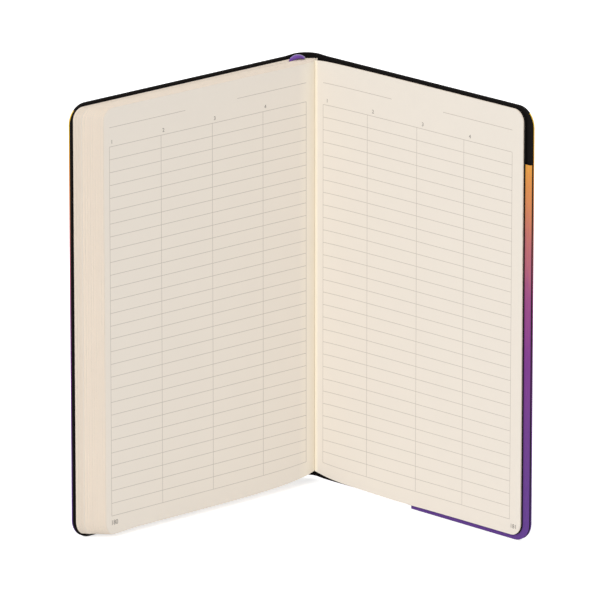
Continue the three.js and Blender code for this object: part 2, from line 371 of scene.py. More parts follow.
def thicken(obj, thickness, offset=-1, rim=0):
    """Give a sheet its thickness. With offset -1 its face stays where it is."""
    only(obj)
    modifier = obj.modifiers.new("thickness", "SOLIDIFY")
    modifier.thickness = thickness
    modifier.offset = offset
    modifier.material_offset_rim = rim
    bpy.ops.object.modifier_apply(modifier=modifier.name)
    bpy.ops.object.shade_smooth_by_angle(angle=SMOOTH_ANGLE)


def at(plan, z):
    """The point at height z over a point of the plan"""
    return Vector((plan.x, plan.y, z))


# %% [markdown]
# ## Finishes
#
# The notebook has few finishes: printed skin, black card and paper, cream paper, gauze and
# satin. Each is a material on the Principled shader. The colours are written as they are
# seen, in 0 to 255, and turned into the linear values that the shader needs. Two effects
# are shared by several materials, so each is a node group. Small helpers add the nodes,
# which is shorter than linking every socket by hand.

# %% Material helpers
def colour(red, green, blue):
    """The linear colour of a colour as it is seen"""
    def linear(value):
        share = value / 255
        return share / 12.92 if share <= 0.04045 else ((share + 0.055) / 1.055) ** 2.4
    return (linear(red), linear(green), linear(blue), 1)


def new_group(name, inputs, outputs):
    """A node group with named sockets. Each socket is (name, type, default)."""
    group = bpy.data.node_groups.new(name, "ShaderNodeTree")
    for direction, sockets in (("INPUT", inputs), ("OUTPUT", outputs)):
        for socket_name, kind, default in sockets:
            socket = group.interface.new_socket(
                name=socket_name, in_out=direction, socket_type=f"NodeSocket{kind}"
            )
            if default is not None:
                socket.default_value = default
    group.nodes.new("NodeGroupInput")
    group.nodes.new("NodeGroupOutput")
    return group


def add(tree, kind, **settings):
    """Add a shader node and set its properties"""
    node = tree.nodes.new(f"ShaderNode{kind}")
    for key, value in settings.items():
        setattr(node, key, value)
    return node


def math_node(tree, operation, *values):
    """A Math node whose inputs are sockets or numbers. It gives its output socket."""
    node = add(tree, "Math", operation=operation)
    for socket, value in zip(node.inputs, values):
        if isinstance(value, (int, float)):
            socket.default_value = value
        else:
            tree.links.new(value, socket)
    return node.outputs[0]


def mix_colours(tree, factor, first, second):
    """A Mix node for colours, whose inputs are sockets or values"""
    node = add(tree, "Mix", data_type="RGBA")
    for socket, value in zip((node.inputs[0], node.inputs[6], node.inputs[7]),
                             (factor, first, second)):
        if isinstance(value, (int, float, tuple)):
            socket.default_value = value
        else:
            tree.links.new(value, socket)
    return node.outputs[2]


print("a seen grey of 128 is", round(colour(128, 128, 128)[0], 3), "as a linear value")

# %% [markdown]
# Paper and card are never quite even. The grain could come from a picture, but noise on the
# Object coordinates stays sharp at any distance. Fine noise gives the fibres, and broad
# noise a slow change over the sheet. The group gives a shade near 1 that multiplies a
# colour, and a height for a bump. Its size is in millimetres.

# %% The shared grain
FINE_DETAIL = 4
BROAD_SCALE = 40
BROAD_DETAIL = 2
grain = new_group(
    "fine grain",
    [("Size", "Float", 1.0), ("Strength", "Float", 0.05)],
    [("Shade", "Float", None), ("Height", "Float", None)],
)
grain_in, grain_out = grain.nodes
place_node = add(grain, "TexCoord")
scale = math_node(grain, "DIVIDE", 1 / MM, grain_in.outputs["Size"])
fine = add(grain, "TexNoise")
fine.inputs["Detail"].default_value = FINE_DETAIL
broad = add(grain, "TexNoise")
broad.inputs["Scale"].default_value = BROAD_SCALE
broad.inputs["Detail"].default_value = BROAD_DETAIL
grain.links.new(scale, fine.inputs["Scale"])
for noise in (fine, broad):
    grain.links.new(place_node.outputs["Object"], noise.inputs["Vector"])
both = math_node(grain, "ADD", fine.outputs["Fac"], broad.outputs["Fac"])
centred = math_node(grain, "SUBTRACT", both, 1.0)
swing = math_node(grain, "MULTIPLY", centred, grain_in.outputs["Strength"])
shade = math_node(grain, "ADD", swing, 1.0)
grain.links.new(shade, grain_out.inputs["Shade"])
grain.links.new(fine.outputs["Fac"], grain_out.inputs["Height"])
print("grain group has", len(grain.nodes), "nodes")

# %% [markdown]
# The cover is printed in one blend of colours like an evening sky, from yellow and orange
# at the head to violet at the tail. A colour ramp over the height gives it without a
# picture. Noise drawn out along the height shifts the bands a little from place to place,
# because a plain ramp would show them too evenly.

# %% The evening print
PRINT_STOPS = (
    (0.00, (96, 62, 140)),
    (0.30, (114, 62, 139)),
    (0.47, (134, 64, 138)),
    (0.60, (166, 88, 125)),
    (0.75, (202, 124, 96)),
    (0.87, (227, 158, 70)),
    (1.00, (238, 198, 66)),
)
STREAK_STRETCH = (1, 1, 0.04)
STREAK_SIZE = 0.6 * MM
evening = new_group("evening print", [("Streaks", "Float", 0.03)], [("Color", "Color", None)])
evening_in, evening_out = evening.nodes
where = add(evening, "TexCoord")
split = add(evening, "SeparateXYZ")
evening.links.new(where.outputs["Object"], split.inputs[0])
height_share = math_node(evening, "DIVIDE", split.outputs["Z"], COVER_HEIGHT)
stretch = add(evening, "VectorMath", operation="MULTIPLY")
stretch.inputs[1].default_value = STREAK_STRETCH
streaks = add(evening, "TexNoise")
streaks.inputs["Scale"].default_value = 1 / STREAK_SIZE
evening.links.new(where.outputs["Object"], stretch.inputs[0])
evening.links.new(stretch.outputs[0], streaks.inputs["Vector"])
streak_shift = math_node(evening, "SUBTRACT", streaks.outputs["Fac"], 0.5)
streak_shift = math_node(evening, "MULTIPLY", streak_shift, evening_in.outputs["Streaks"])
height_share = math_node(evening, "ADD", height_share, streak_shift)
ramp = add(evening, "ValToRGB")
ramp.color_ramp.interpolation = "CARDINAL"
while len(ramp.color_ramp.elements) < len(PRINT_STOPS):
    ramp.color_ramp.elements.new(0.5)
for element, (position, seen) in zip(ramp.color_ramp.elements, PRINT_STOPS):
    element.position = position
    element.color = colour(*seen)
evening.links.new(height_share, ramp.inputs[0])
evening.links.new(ramp.outputs["Color"], evening_out.inputs["Color"])
print("evening print has", len(PRINT_STOPS), "colours")

# %% [markdown]
# Every finish is built in the same way, so one function builds them all. A material starts
# from its base colour, a plain value or a socket. The grain's shade multiplies it, and the
# grain's height feeds a bump. Roughness and shine are even all over, so they are set on the
# shader itself.

# %% Build a finish
BUMP_HEIGHT = 0.05 * MM


def finish(name, base, grain_size, grain_strength, bump, roughness, shine=0.5, sheen=0.0):
    """A material with the shared grain. base(tree) gives a colour socket or a value."""
    material = bpy.data.materials.new(name)
    material.use_nodes = True
    tree = material.node_tree
    shader = tree.nodes["Principled BSDF"]
    shader.inputs["Roughness"].default_value = roughness
    shader.inputs["Specular IOR Level"].default_value = shine
    shader.inputs["Sheen Weight"].default_value = sheen
    grain_node = add(tree, "Group", node_tree=grain)
    grain_node.inputs["Size"].default_value = grain_size
    grain_node.inputs["Strength"].default_value = grain_strength
    value = base(tree) if callable(base) else base
    scaled = add(tree, "VectorMath", operation="SCALE")
    if isinstance(value, tuple):
        scaled.inputs[0].default_value = value[:3]
    else:
        tree.links.new(value, scaled.inputs[0])
    tree.links.new(grain_node.outputs["Shade"], scaled.inputs["Scale"])
    tree.links.new(scaled.outputs[0], shader.inputs["Base Color"])
    bumps = add(tree, "Bump")
    bumps.inputs["Strength"].default_value = bump
    bumps.inputs["Distance"].default_value = BUMP_HEIGHT
    tree.links.new(grain_node.outputs["Height"], bumps.inputs["Height"])
    tree.links.new(bumps.outputs[0], shader.inputs["Normal"])
    return material


# %% [markdown]
# The skin is coated paper, so its grain is fine and it shines faintly. The pocket's paper
# is the same print with less shine. Card and black paper are deep black with a coarse dull
# surface. The trimmed edge of the block is warmer than a page, and the gauze is the
# roughest. Each gets its own values, which a copied material would hide.

# %% The plain finishes
PRINT_STREAKS = 0.12


def printed(tree):
    """The base colour of the printed sheets"""
    group = add(tree, "Group", node_tree=evening)
    group.inputs["Streaks"].default_value = PRINT_STREAKS
    return group.outputs["Color"]


printed_skin = finish("printed skin", printed, grain_size=0.5, grain_strength=0.06,
                      bump=0.35, roughness=0.5, shine=0.2)
pocket_print = finish("pocket print", printed, grain_size=0.35, grain_strength=0.05,
                      bump=0.2, roughness=0.6, shine=0.15)
black_card = finish("black card", colour(24, 21, 20), grain_size=0.3, grain_strength=0.25,
                    bump=0.4, roughness=0.8, shine=0.1)
black_paper = finish("black paper", colour(22, 19, 18), grain_size=0.25, grain_strength=0.2,
                     bump=0.3, roughness=0.85, shine=0.1)
page_edge = finish("page edge", colour(247, 231, 213), grain_size=0.3, grain_strength=0.04,
                   bump=0.3, roughness=0.95, shine=0.2)
gauze = finish("gauze", colour(216, 210, 196), grain_size=0.4, grain_strength=0.2,
               bump=0.8, roughness=0.95, shine=0.2)
for made in (printed_skin, pocket_print, black_card, black_paper, page_edge, gauze):
    print(made.name, "has", len(made.node_tree.nodes), "nodes")

# %% [markdown]
# ## The ruled page
#
# The pages carry a ruled table in fine grey lines. As strips of mesh, hundreds of lines
# would weigh more than the leaves, so they are drawn in the shader, where they stay thin
# and sharp. Each leaf has a UV map named `page`, in metres: across from the gutter,
# negative on a left-hand page, and up from the ground. A line is a narrow band round its
# place, and the bands are joined with Maximum. Places are in millimetres, and where there
# are two, the first is the left-hand page's.

# %% The ruled lines
LINE_WIDTH = 0.24 * MM
LEFT_COLUMNS = (8.96, 31.6, 57.86, 84.24, 110.54)
RIGHT_COLUMNS = (4.11, 28.44, 55.4, 80.79, 106.59)
TABLE_TOP = (163.1, 161.0)
TABLE_FOOT = (9.9, 8.8)
TABLE_ROWS = 29
HEADING_RULE = (171.0, 170.1)
HEADING_GAP = ((44.9, 71.7), (41.7, 69.5))


def band(tree, value, middle, width):
    """1 where value lies within width of middle, else 0"""
    node = add(tree, "Math", operation="COMPARE")
    tree.links.new(value, node.inputs[0])
    node.inputs[1].default_value = middle
    node.inputs[2].default_value = width / 2
    return node.outputs[0]


def between(tree, value, low, high):
    """1 where value lies from low to high, else 0"""
    return band(tree, value, (low + high) / 2, high - low)


def table_ink(tree, across, up, page):
    """The lines of one page. page is 0 for a left-hand page and 1 for a right-hand one."""
    columns = (LEFT_COLUMNS, RIGHT_COLUMNS)[page]
    top, foot = TABLE_TOP[page] * MM, TABLE_FOOT[page] * MM
    inner, outer = columns[0] * MM, columns[-1] * MM
    uprights = None
    for place in columns:
        line = band(tree, across, place * MM, LINE_WIDTH)
        uprights = line if uprights is None else math_node(tree, "MAXIMUM", uprights, line)
    in_height = between(tree, up, foot, top)
    uprights = math_node(tree, "MULTIPLY", uprights, in_height)
    pitch = (top - foot) / TABLE_ROWS
    steps = math_node(tree, "DIVIDE", math_node(tree, "SUBTRACT", up, foot), pitch)
    nearest = math_node(tree, "ROUND", steps)
    away = math_node(tree, "ABSOLUTE", math_node(tree, "SUBTRACT", steps, nearest))
    row = band(tree, away, 0, LINE_WIDTH / pitch)
    row_range = between(tree, nearest, -0.5, TABLE_ROWS + 0.5)
    row = math_node(tree, "MULTIPLY", row, row_range)
    row = math_node(tree, "MULTIPLY", row, between(tree, across, inner, outer))
    rule = band(tree, up, HEADING_RULE[page] * MM, LINE_WIDTH)
    rule = math_node(tree, "MULTIPLY", rule, between(tree, across, inner, outer))
    low, high = HEADING_GAP[page]
    open_gap = math_node(tree, "SUBTRACT", 1.0, between(tree, across, low * MM, high * MM))
    rule = math_node(tree, "MULTIPLY", rule, open_gap)
    return math_node(tree, "MAXIMUM", uprights, math_node(tree, "MAXIMUM", row, rule))


print(TABLE_ROWS, "rows and", len(LEFT_COLUMNS) - 1, "columns on each page")

# %% [markdown]
# The paper itself is a cream white. Towards the gutter it is lighter and warmer, because
# there the two pages light each other. Light alone would give less of it than is seen, so
# the paper's colour shifts too, over a wide band on the left page, which bends gently, and
# a narrow one on the right.

# %% The ruled paper
PAPER = colour(234, 226, 215)
GUTTER_PAPER = colour(255, 246, 226)
LEFT_GLOW = 13 * MM
RIGHT_GLOW = 1.5 * MM
INK = colour(196, 187, 177)


def ruled(tree):
    """The base colour of a page: paper, lighter near the gutter, and its lines"""
    uv = add(tree, "UVMap", uv_map="page")
    parts = add(tree, "SeparateXYZ")
    tree.links.new(uv.outputs[0], parts.inputs[0])
    across, up = parts.outputs["X"], parts.outputs["Y"]
    left = table_ink(tree, math_node(tree, "MULTIPLY", across, -1.0), up, 0)
    right = table_ink(tree, across, up, 1)
    near = math_node(tree, "MAXIMUM", math_node(tree, "DIVIDE", across, -LEFT_GLOW),
                     math_node(tree, "DIVIDE", across, RIGHT_GLOW))
    near = math_node(tree, "MINIMUM", near, 1.0)
    paper = mix_colours(tree, near, GUTTER_PAPER, PAPER)
    return mix_colours(tree, math_node(tree, "MAXIMUM", left, right), paper, INK)


ruled_paper = finish("ruled paper", ruled, grain_size=0.3, grain_strength=0.02,
                     bump=0.15, roughness=0.9, shine=0.2)
print("ruled paper has", len(ruled_paper.node_tree.nodes), "nodes")

# %% [markdown]
# ## The cover
#
# A soft cover is one printed sheet, glued to card and lined with black paper. All layers
# are cut alike. Cutting each anew would give the same sheet, so the cover is cut once, from
# the middle of the spine to one fore-edge, scored closely in the spine and the crease where
# it bends. Near the spine its tail edge stands a little off the ground, as it does when a
# soft cover rests on the far ends of its panels.

# %% Cut the cover
SPINE_STEPS = 10
CREASE_STEPS = 8
CREASE_SLIT = 0.35 * MM
BLEND_START = 7.0 * MM
BLEND_END = CREASE_S + CREASE_SLIT
PANEL_SCORES = (0, 30, 40, 50, 60, 70, 80)
TAIL_RISE = 1.6 * MM
TAIL_RISE_TO = CREASE_S + 30 * MM
TAIL_LEVEL_FROM = CREASE_S + 80 * MM
TAIL_FADE = 40 * MM
COVER_ROWS = [z * MM for z in (3, 6, 8, 12, 18, 26, 36, 90, 172)]


def cover_columns():
    """Where the cover is scored, from the middle of the spine outwards"""
    columns = [SPINE_WIDTH / 2 * i / SPINE_STEPS for i in range(1, SPINE_STEPS + 1)]
    step = (BLEND_END - SPINE_WIDTH / 2) / CREASE_STEPS
    columns += [SPINE_WIDTH / 2 + step * i for i in range(1, CREASE_STEPS + 1)]
    columns += [CREASE_S + u * MM for u in PANEL_SCORES]
    columns += [CREASE_S + PANEL_WIDTH - COVER_CORNER]
    return sorted(set(columns))


def cover_height(s, z):
    """The height on the cover, with the tail edge risen near the spine"""
    share = (abs(s) - TAIL_RISE_TO) / (TAIL_LEVEL_FROM - TAIL_RISE_TO)
    share = min(max(share, 0), 1)
    rise = TAIL_RISE * (1 - share * share * (3 - 2 * share))
    return z + rise * max(0, 1 - z / TAIL_FADE) ** 2


cover_flat = flat_sheet(
    "cover_flat", 0, CREASE_S + PANEL_WIDTH, 0, COVER_HEIGHT, COVER_CORNER,
    cover_columns(), COVER_ROWS,
)
print("the cover is scored at", len(cover_columns()), "columns")

# %% [markdown]
# The printed skin and the lining go round both panels and the spine. They are made in two
# halves that meet in the middle of the spine, one for each cover. The skin's outer face and
# its rim at the fore-edge are printed. Its inner face and the rims at head and tail show
# the black core, so those faces get the card's finish.

# %% The printed skin and the lining
PRINTED, CORE = 0, 1
INNER_LIMIT = 0.5
RIM_LIMIT = 0.7


def cover_layer(name, side, depth, thickness, outward):
    """A sheet of the cover from the middle of the spine to the fore-edge"""
    sheet = copy_of(cover_flat, name)
    lay(sheet, lambda s, z: at(cover_plan(side, s, depth), cover_height(s, z)))
    face_towards(sheet, (0, 1, 0) if outward else (0, -1, 0))
    thicken(sheet, thickness)
    return sheet


def bend_with_cover(piece, side):
    """Bake the piece's place into its mesh"""
    start = at(cover_plan(side, BLEND_START, 0), 0)
    end = at(cover_plan(side, BLEND_END, 0), 0)
    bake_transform(piece)


def blacken_core(piece, side):
    """The print is on the outer face and the fore-edge. The rest shows the black core."""
    piece.data.materials.append(printed_skin)
    piece.data.materials.append(black_card)
    for face in piece.data.polygons:
        within = face.normal.dot(Vector((*inward(side), 0))) > INNER_LIMIT
        rim = abs(face.normal.z) > RIM_LIMIT
        face.material_index = CORE if within or rim else PRINTED


for side, cover in ((-1, "front"), (1, "back")):
    wrap = cover_layer(f"{cover}_cover_wrap", side, 0, SKIN_THICKNESS, True)
    blacken_core(wrap, side)
    bend_with_cover(wrap, side)
    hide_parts(f"{cover}_cover_skin", "spine_skin")
    lining = cover_layer(f"{cover}_lining", side, COVER_THICKNESS, LINING_THICKNESS, False)
    lining.data.materials.append(black_paper)
    bend_with_cover(lining, side)
    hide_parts(f"{cover}_pastedown", "spine_liner")
    print(cover, "wrap has", len(wrap.data.polygons), "faces")
bpy.data.objects.remove(cover_flat)

# %% [markdown]
# Between skin and lining lies black card: one board in each panel and one in the spine,
# with a gap at the creases so that the cover can fold there. One long board would be less
# work, but it would have to stretch in the creases. The boards don't bend at all, so each
# simply rides on its body. Each follows the same tail edge as the skin.

# %% The card
CARD_DEPTH = 0.65 * MM
CARD_THICKNESS = 0.4 * MM


def card_sheet(name, node, body, start, end, corner, plan):
    """A board from start to end, laid by plan(s, z)"""
    scores = cover_columns() + [0] + [-s for s in cover_columns()]
    sheet = flat_sheet(name, start, end, 0, COVER_HEIGHT, corner,
                       [s for s in scores if start < s < end], COVER_ROWS)
    lay(sheet, plan)
    face_towards(sheet, (0, 1, 0))
    sheet.data.materials.append(black_card)
    thicken(sheet, CARD_THICKNESS)
    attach(sheet, body)
    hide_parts(node)
    print(name, "is", round((end - start) / MM, 1), "mm wide")


for side, cover in ((-1, "front_cover"), (1, "back_cover")):
    card_sheet(
        f"{cover}_board", f"{cover}_card", cover, CREASE_S + CREASE_SLIT,
        CREASE_S + PANEL_WIDTH, COVER_CORNER,
        lambda s, z: at(cover_plan(side, s, CARD_DEPTH), cover_height(s, z)),
    )
card_sheet(
    "spine_board", "spine_card", "spine", -SPINE_WIDTH / 2, SPINE_WIDTH / 2, 0,
    lambda s, z: at(spine_plan(s, CARD_DEPTH), cover_height(s, z)),
)

# %% [markdown]
# The block is sewn with thread and lined with gauze on its back. Both are hidden and plain.
# They could be modelled again like the paper, but nobody would see it, so the frame's own
# solids stay and only get their finish.

# %% Finish the frame's own pieces
for node in ("sewing_thread", "spine_lining"):
    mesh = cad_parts[node].data
    mesh.materials.clear()
    mesh.materials.append(gauze)
    print(node, "keeps its", len(mesh.polygons), "faces")

# %% [markdown]
# ## The leaves
#
# The block could be one solid with a striped edge, which would do for a shut book. This one
# opens, so every leaf is a sheet. It is cut once as a flat sheet with two round corners,
# and every leaf is a copy laid along its own path. It is in two pieces: the margin that
# bends at the fold, and the rest of the leaf.

# %% Cut the leaves
PAGE_ROWS = tuple(PAGE_BOTTOM + z * MM for z in (3, 7, 12, 18, 26, 40, 90, 165, 172))
LEAF_SCORES = (3.5, 5, 7, 9, 11.5, 14, 17, 22, 30, 45, 60, 80, 98)
LEFT_FOLD_REACH = 2 * MM
ROUND_STEPS = 4
BEND_STEPS = 8

leaf_flat = flat_sheet(
    "leaf_flat", LEFT_FOLD_REACH, LEAF_WIDTH, PAGE_BOTTOM, PAGE_TOP, PAGE_CORNER,
    [x * MM for x in LEAF_SCORES] + [LEAF_WIDTH - PAGE_CORNER], PAGE_ROWS,
)
bend_scores = [1 + i / BEND_STEPS for i in range(BEND_STEPS)]
round_scores = [i / ROUND_STEPS for i in range(1 - ROUND_STEPS, ROUND_STEPS)]
fold_flat = flat_sheet(
    "fold_flat", -2, 2, PAGE_BOTTOM, PAGE_TOP, 0,
    [-x for x in bend_scores] + round_scores + bend_scores, PAGE_ROWS,
)
margin_flat = flat_sheet(
    "margin_flat", -1, 1, PAGE_BOTTOM, PAGE_TOP, 0,
    [x - 1 for x in bend_scores], PAGE_ROWS,
)
print("a leaf has", len(leaf_flat.data.polygons), "faces before it is thickened")

# %% [markdown]
# A page's tail edge isn't straight. Near the gutter it rides up a little, as it does in a
# standing book. Further out the right leaves sag by a hair, and the left ones droop at
# their lower corners. Sculpting would do that for one leaf. A height added to every point,
# which fades out upwards, does it for all of them and leaves the head straight.

# %% How the tail edges rise and sag
LIFT_HEIGHT = 26 * MM


def tail_lift(rise):
    """How far the tail edge has ridden up, fading out with height"""
    def lifted(z):
        fade = max(0, 1 - (z - PAGE_BOTTOM) / LIFT_HEIGHT)
        return z + rise * fade * fade
    return lifted


LEFT_RISE = 3.2 * MM
LEFT_RISE_RUN = 13.5 * MM
RIGHT_RISE = 3 * MM
RIGHT_RISE_RUN = 7 * MM
RISE_LEVEL = 6 * MM
CORNER_DROOP = 1.1 * MM
DROOP_START = LEAF_WIDTH - 1.5 * PAGE_CORNER
PAGE_SAG = 0.25 * MM
MIDDLE_SAG = 0.35 * MM
SAG_MIDDLE = 46 * MM
SAG_RUN = 16 * MM


def left_height(s, z):
    """The height on a left leaf, s along it"""
    out = min(1, max(0, (s - DROOP_START) / PAGE_CORNER))
    down = max(0, 1 - (z - PAGE_BOTTOM) / PAGE_CORNER)
    rise = LEFT_RISE * math.exp(-max(0, s - RISE_LEVEL) / LEFT_RISE_RUN)
    return tail_lift(rise)(z) - CORNER_DROOP * out * down


def right_height(x, z):
    """The height on a right leaf, x along it"""
    rise = RIGHT_RISE * math.exp(-max(0, x - VALLEY_DEPTH) / RIGHT_RISE_RUN)
    sag = PAGE_SAG * min(1, max(0, x / SAG_MIDDLE))
    sag += MIDDLE_SAG * math.exp(-(((x - SAG_MIDDLE) / SAG_RUN) ** 2))
    return tail_lift(rise - sag)(z)


print(f"left tail edge rises {(left_height(0, PAGE_BOTTOM) - PAGE_BOTTOM) / MM:.1f} mm")

# %% [markdown]
# Each leaf has to carry its ruling with it, so its page map is written from the flat sheet
# before it is bent. Unwrapping the bent mesh would be the usual way, but would lose the
# real millimetres. The leaves of a section are then joined to one piece and thickened. The
# thin rim gets the finish of the page edge.

# %% Print and bind the leaves
LEAF_THICKNESS = 0.08 * MM


def print_page(sheet, places):
    """Write the page map: places holds the way across and up for each vertex"""
    uv = sheet.data.uv_layers.active or sheet.data.uv_layers.new(name="page")
    uv.name = "page"
    for loop in sheet.data.loops:
        uv.data[loop.index].uv = places[loop.vertex_index]


def left_pages_face(sheet):
    """The map is negative on left-hand pages, whose faces look towards +X"""
    uv = sheet.data.uv_layers["page"]
    for face in sheet.data.polygons:
        if face.normal.x > 0:
            for index in face.loop_indices:
                uv.data[index].uv.x *= -1


def paper_sheet(flat, name, path, heights, way):
    """A laid copy of a flat sheet with its page map.
    path(x) gives its plan, heights(x, z) its height and way(x) the way from the gutter."""
    sheet = copy_of(flat, name)
    page = [(way(v.co.x), v.co.z) for v in sheet.data.vertices]
    lay(sheet, lambda x, z: at(path(x), heights(x, z)))
    print_page(sheet, page)
    return sheet


def bind(sheets, name, node, materials=None):
    """Join laid sheets to one piece, thicken them and say what they stand for"""
    only(*sheets)
    if len(sheets) > 1:
        bpy.ops.object.join()
    piece = sheets[0]
    piece.name = name
    piece.data.name = name
    for material in materials or (ruled_paper, page_edge):
        piece.data.materials.append(material)
    thicken(piece, LEAF_THICKNESS, offset=0, rim=1)
    left_pages_face(piece)
    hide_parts(node)
    return piece


# %% [markdown]
# A left leaf is laid along its own arc. A leaf further from the centre has a longer bend.
# That is evened out over the first part of its page, so that all leaves end flush, as after
# trimming. Each is cut a hair longer or shorter than the next. Those few hundredths of a
# millimetre draw the fine streaks of the fore-edge, which a texture would only paint.

# %% Shape the left leaves
TRIM = 0.08
EVEN_OUT_RUN = 80 * MM
random.seed(7)


def left_way(t, x):
    """The way along a left leaf from its bend's start, for x across the flat leaf"""
    return t * FRONT_ANGLE + x - t * FRONT_ANGLE * min(1, x / EVEN_OUT_RUN)


def left_leaf(name, t):
    """The leaf at offset t"""
    trim = random.uniform(-TRIM, TRIM) * MM

    def way(x):
        return left_way(t, x) + trim * max(0, x / LEAF_WIDTH)

    return paper_sheet(
        leaf_flat, name, lambda x: left_plan(t, way(x)), lambda x, z: left_height(way(x), z), way
    )


def loose_margin(name, t):
    """The margin of a single leaf. On the flat sheet its root runs from -1 to 0 and its
    bend from 0 to 1."""
    def way(x):
        return x * (FOLD_DEPTH if x < 0 else left_way(t, LEFT_FOLD_REACH))

    return paper_sheet(
        margin_flat, name, lambda x: left_plan(t, way(x)), lambda x, z: left_height(way(x), z), way
    )


def turn_with_left(piece):
    """Bake the piece's place into its mesh"""
    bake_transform(piece)


def fold_with_front(piece):
    """Bake the piece's place into its mesh"""
    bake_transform(piece)


print(f"the last left leaf bends over {(gutter.x - bend_centre.x) * FRONT_ANGLE / MM:.1f} mm")

# %% [markdown]
# In a sewn section the leaves are in pairs, each pair one sheet folded round the next. The
# fold is a small half round, from the margin of one leaf over to that of the other, so it
# is made as the binder folds it and not as a block behind the leaves.

# %% Fold the margins of a section
def folded_sheet(name, near, pair):
    """The margins of two leaves of a section and the round fold that joins them.
    On the flat sheet the fold runs from -1 to 1, and a margin from there to -2 or 2."""
    first = near + (pair + 0.5) * LEAF_PITCH
    second = near + (LEAVES_PER_SECTION - pair - 0.5) * LEAF_PITCH
    radius = (second - first) / 2
    round_start = FOLD_DEPTH - (LEAVES_PER_SECTION - 1) / 2 * LEAF_PITCH

    def plan(x):
        if abs(x) < 1:
            angle = x * math.pi / 2
            centre = bend_centre + Vector(((first + second) / 2, round_start))
            return centre + Vector((radius * math.sin(angle), radius * math.cos(angle)))
        t = first if x < 0 else second
        if abs(x) == 1:
            return left_plan(t, -round_start)
        return left_plan(t, way(x))

    def way(x):
        share = (abs(x) - 1 - 1 / BEND_STEPS) * BEND_STEPS / (BEND_STEPS - 1)
        return max(0, share) * left_way(first if x < 0 else second, LEFT_FOLD_REACH)

    return paper_sheet(fold_flat, name, plan, lambda x, z: left_height(way(x), z), way)


print(f"a section is {LEAVES_PER_SECTION * LEAF_PITCH / MM:.2f} mm thick")

# %% Lay the left leaves
for name, near in sections.items():
    leaves = [
        left_leaf(f"{name}_leaf_{i}", near + (i + 0.5) * LEAF_PITCH)
        for i in range(LEAVES_PER_SECTION)
    ]
    for leaf in leaves:
        face_towards(leaf, (*inward(-1), 0))
    turn_with_left(bind(leaves, f"{name}_leaves", name))
    folds = [folded_sheet(f"{name}_fold_{i}", near, i) for i in range(LEAVES_PER_SECTION // 2)]
    fold_with_front(bind(folds, f"{name}_fold", f"{name}_margin"))

for name, near in loose_left.items():
    t = near + LEAF_PITCH / 2
    turn_with_left(bind([left_leaf(f"{name}_sheet", t)], f"{name}_sheet", name))
for name, near in loose_left.items():
    margin = loose_margin(f"{name}_fold", near + LEAF_PITCH / 2)
    fold_with_front(bind([margin], f"{name}_fold", f"{name}_margin"))
print(len(sections), "sections and", len(loose_left), "single leaves laid on the left")

# %% [markdown]
# The right leaves are fewer and lie nearly flat on the back cover. Each is in two pieces,
# the margin at the fold and the rest of the leaf, and the uppermost one has a third piece,
# its neck, between them.

# %% Shape the right leaves
RIGHT_FOLD_END = 3.4 * MM
STACK_BEND_END = 5.6 * MM
TURN_END = 11.6 * MM
RIGHT_EDGE = 113.35 * MM
EDGE_SLANT = 0.95
RIGHT_TRIM = 0.05
TURNING_LEAF = "leaf_181_182"
RIGHT_SCORES = (0, 0.4, 1.2, 1.6, 2, 2.6, 3, 3.5, 4, 4.5, 5, 5.75, 6.5, 7.25, 8, 9, 10, 12, 14,
                17, 20, 25, 30, 38, 46, 54, 62, 80, 107)


def right_sheet(name, p, start, end, corner, node, materials=None):
    """A piece of the right leaf at offset p, from start to end along it"""
    flat = flat_sheet(
        f"{name}_flat", start, end, PAGE_BOTTOM, PAGE_TOP, corner,
        [x * MM for x in RIGHT_SCORES if start < x * MM < end], PAGE_ROWS,
    )
    sheet = paper_sheet(
        flat, name, lambda x: right_plan(p, x), right_height,
        lambda x: right_way(right_plan(p, x)),
    )
    bpy.data.objects.remove(flat)
    return bind([sheet], name, node, materials)


print(f"the right leaves bend up to {STACK_BEND_END / MM:.1f} mm from the fold")

# %% Lay the right leaves
for name, near in right_leaves.items():
    p = near + LEAF_PITCH / 2
    root = at(right_plan(near + LEAF_PITCH, 0), 0)
    seam = at(right_plan(near, RIGHT_FOLD_END), 0)
    fold = right_sheet(f"{name}_fold", p, -FOLD_DEPTH, RIGHT_FOLD_END, 0, f"{name}_margin")
    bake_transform(fold)
    turns = name == TURNING_LEAF
    stack_start = at(right_plan(near + LEAF_PITCH, RIGHT_FOLD_END), 0)
    stack_end = at(right_plan(near, STACK_BEND_END), 0)
    if turns:
        neck = right_sheet(f"{name}_neck", p, RIGHT_FOLD_END, STACK_BEND_END, 0,
                           f"{name}_margin")
        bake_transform(neck)
    start = STACK_BEND_END if turns else RIGHT_FOLD_END
    edge = RIGHT_EDGE - EDGE_SLANT * p - random.uniform(0, RIGHT_TRIM) * MM
    leaf = right_sheet(f"{name}_sheet", p, start, edge, PAGE_CORNER, name)
    if turns:
        turn_start = at(right_plan(near + LEAF_PITCH, STACK_BEND_END), 0)
        turn_end = at(right_plan(near, TURN_END), 0)
        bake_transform(leaf)
    else:
        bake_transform(leaf)
print(len(right_leaves), "leaves laid on the right")
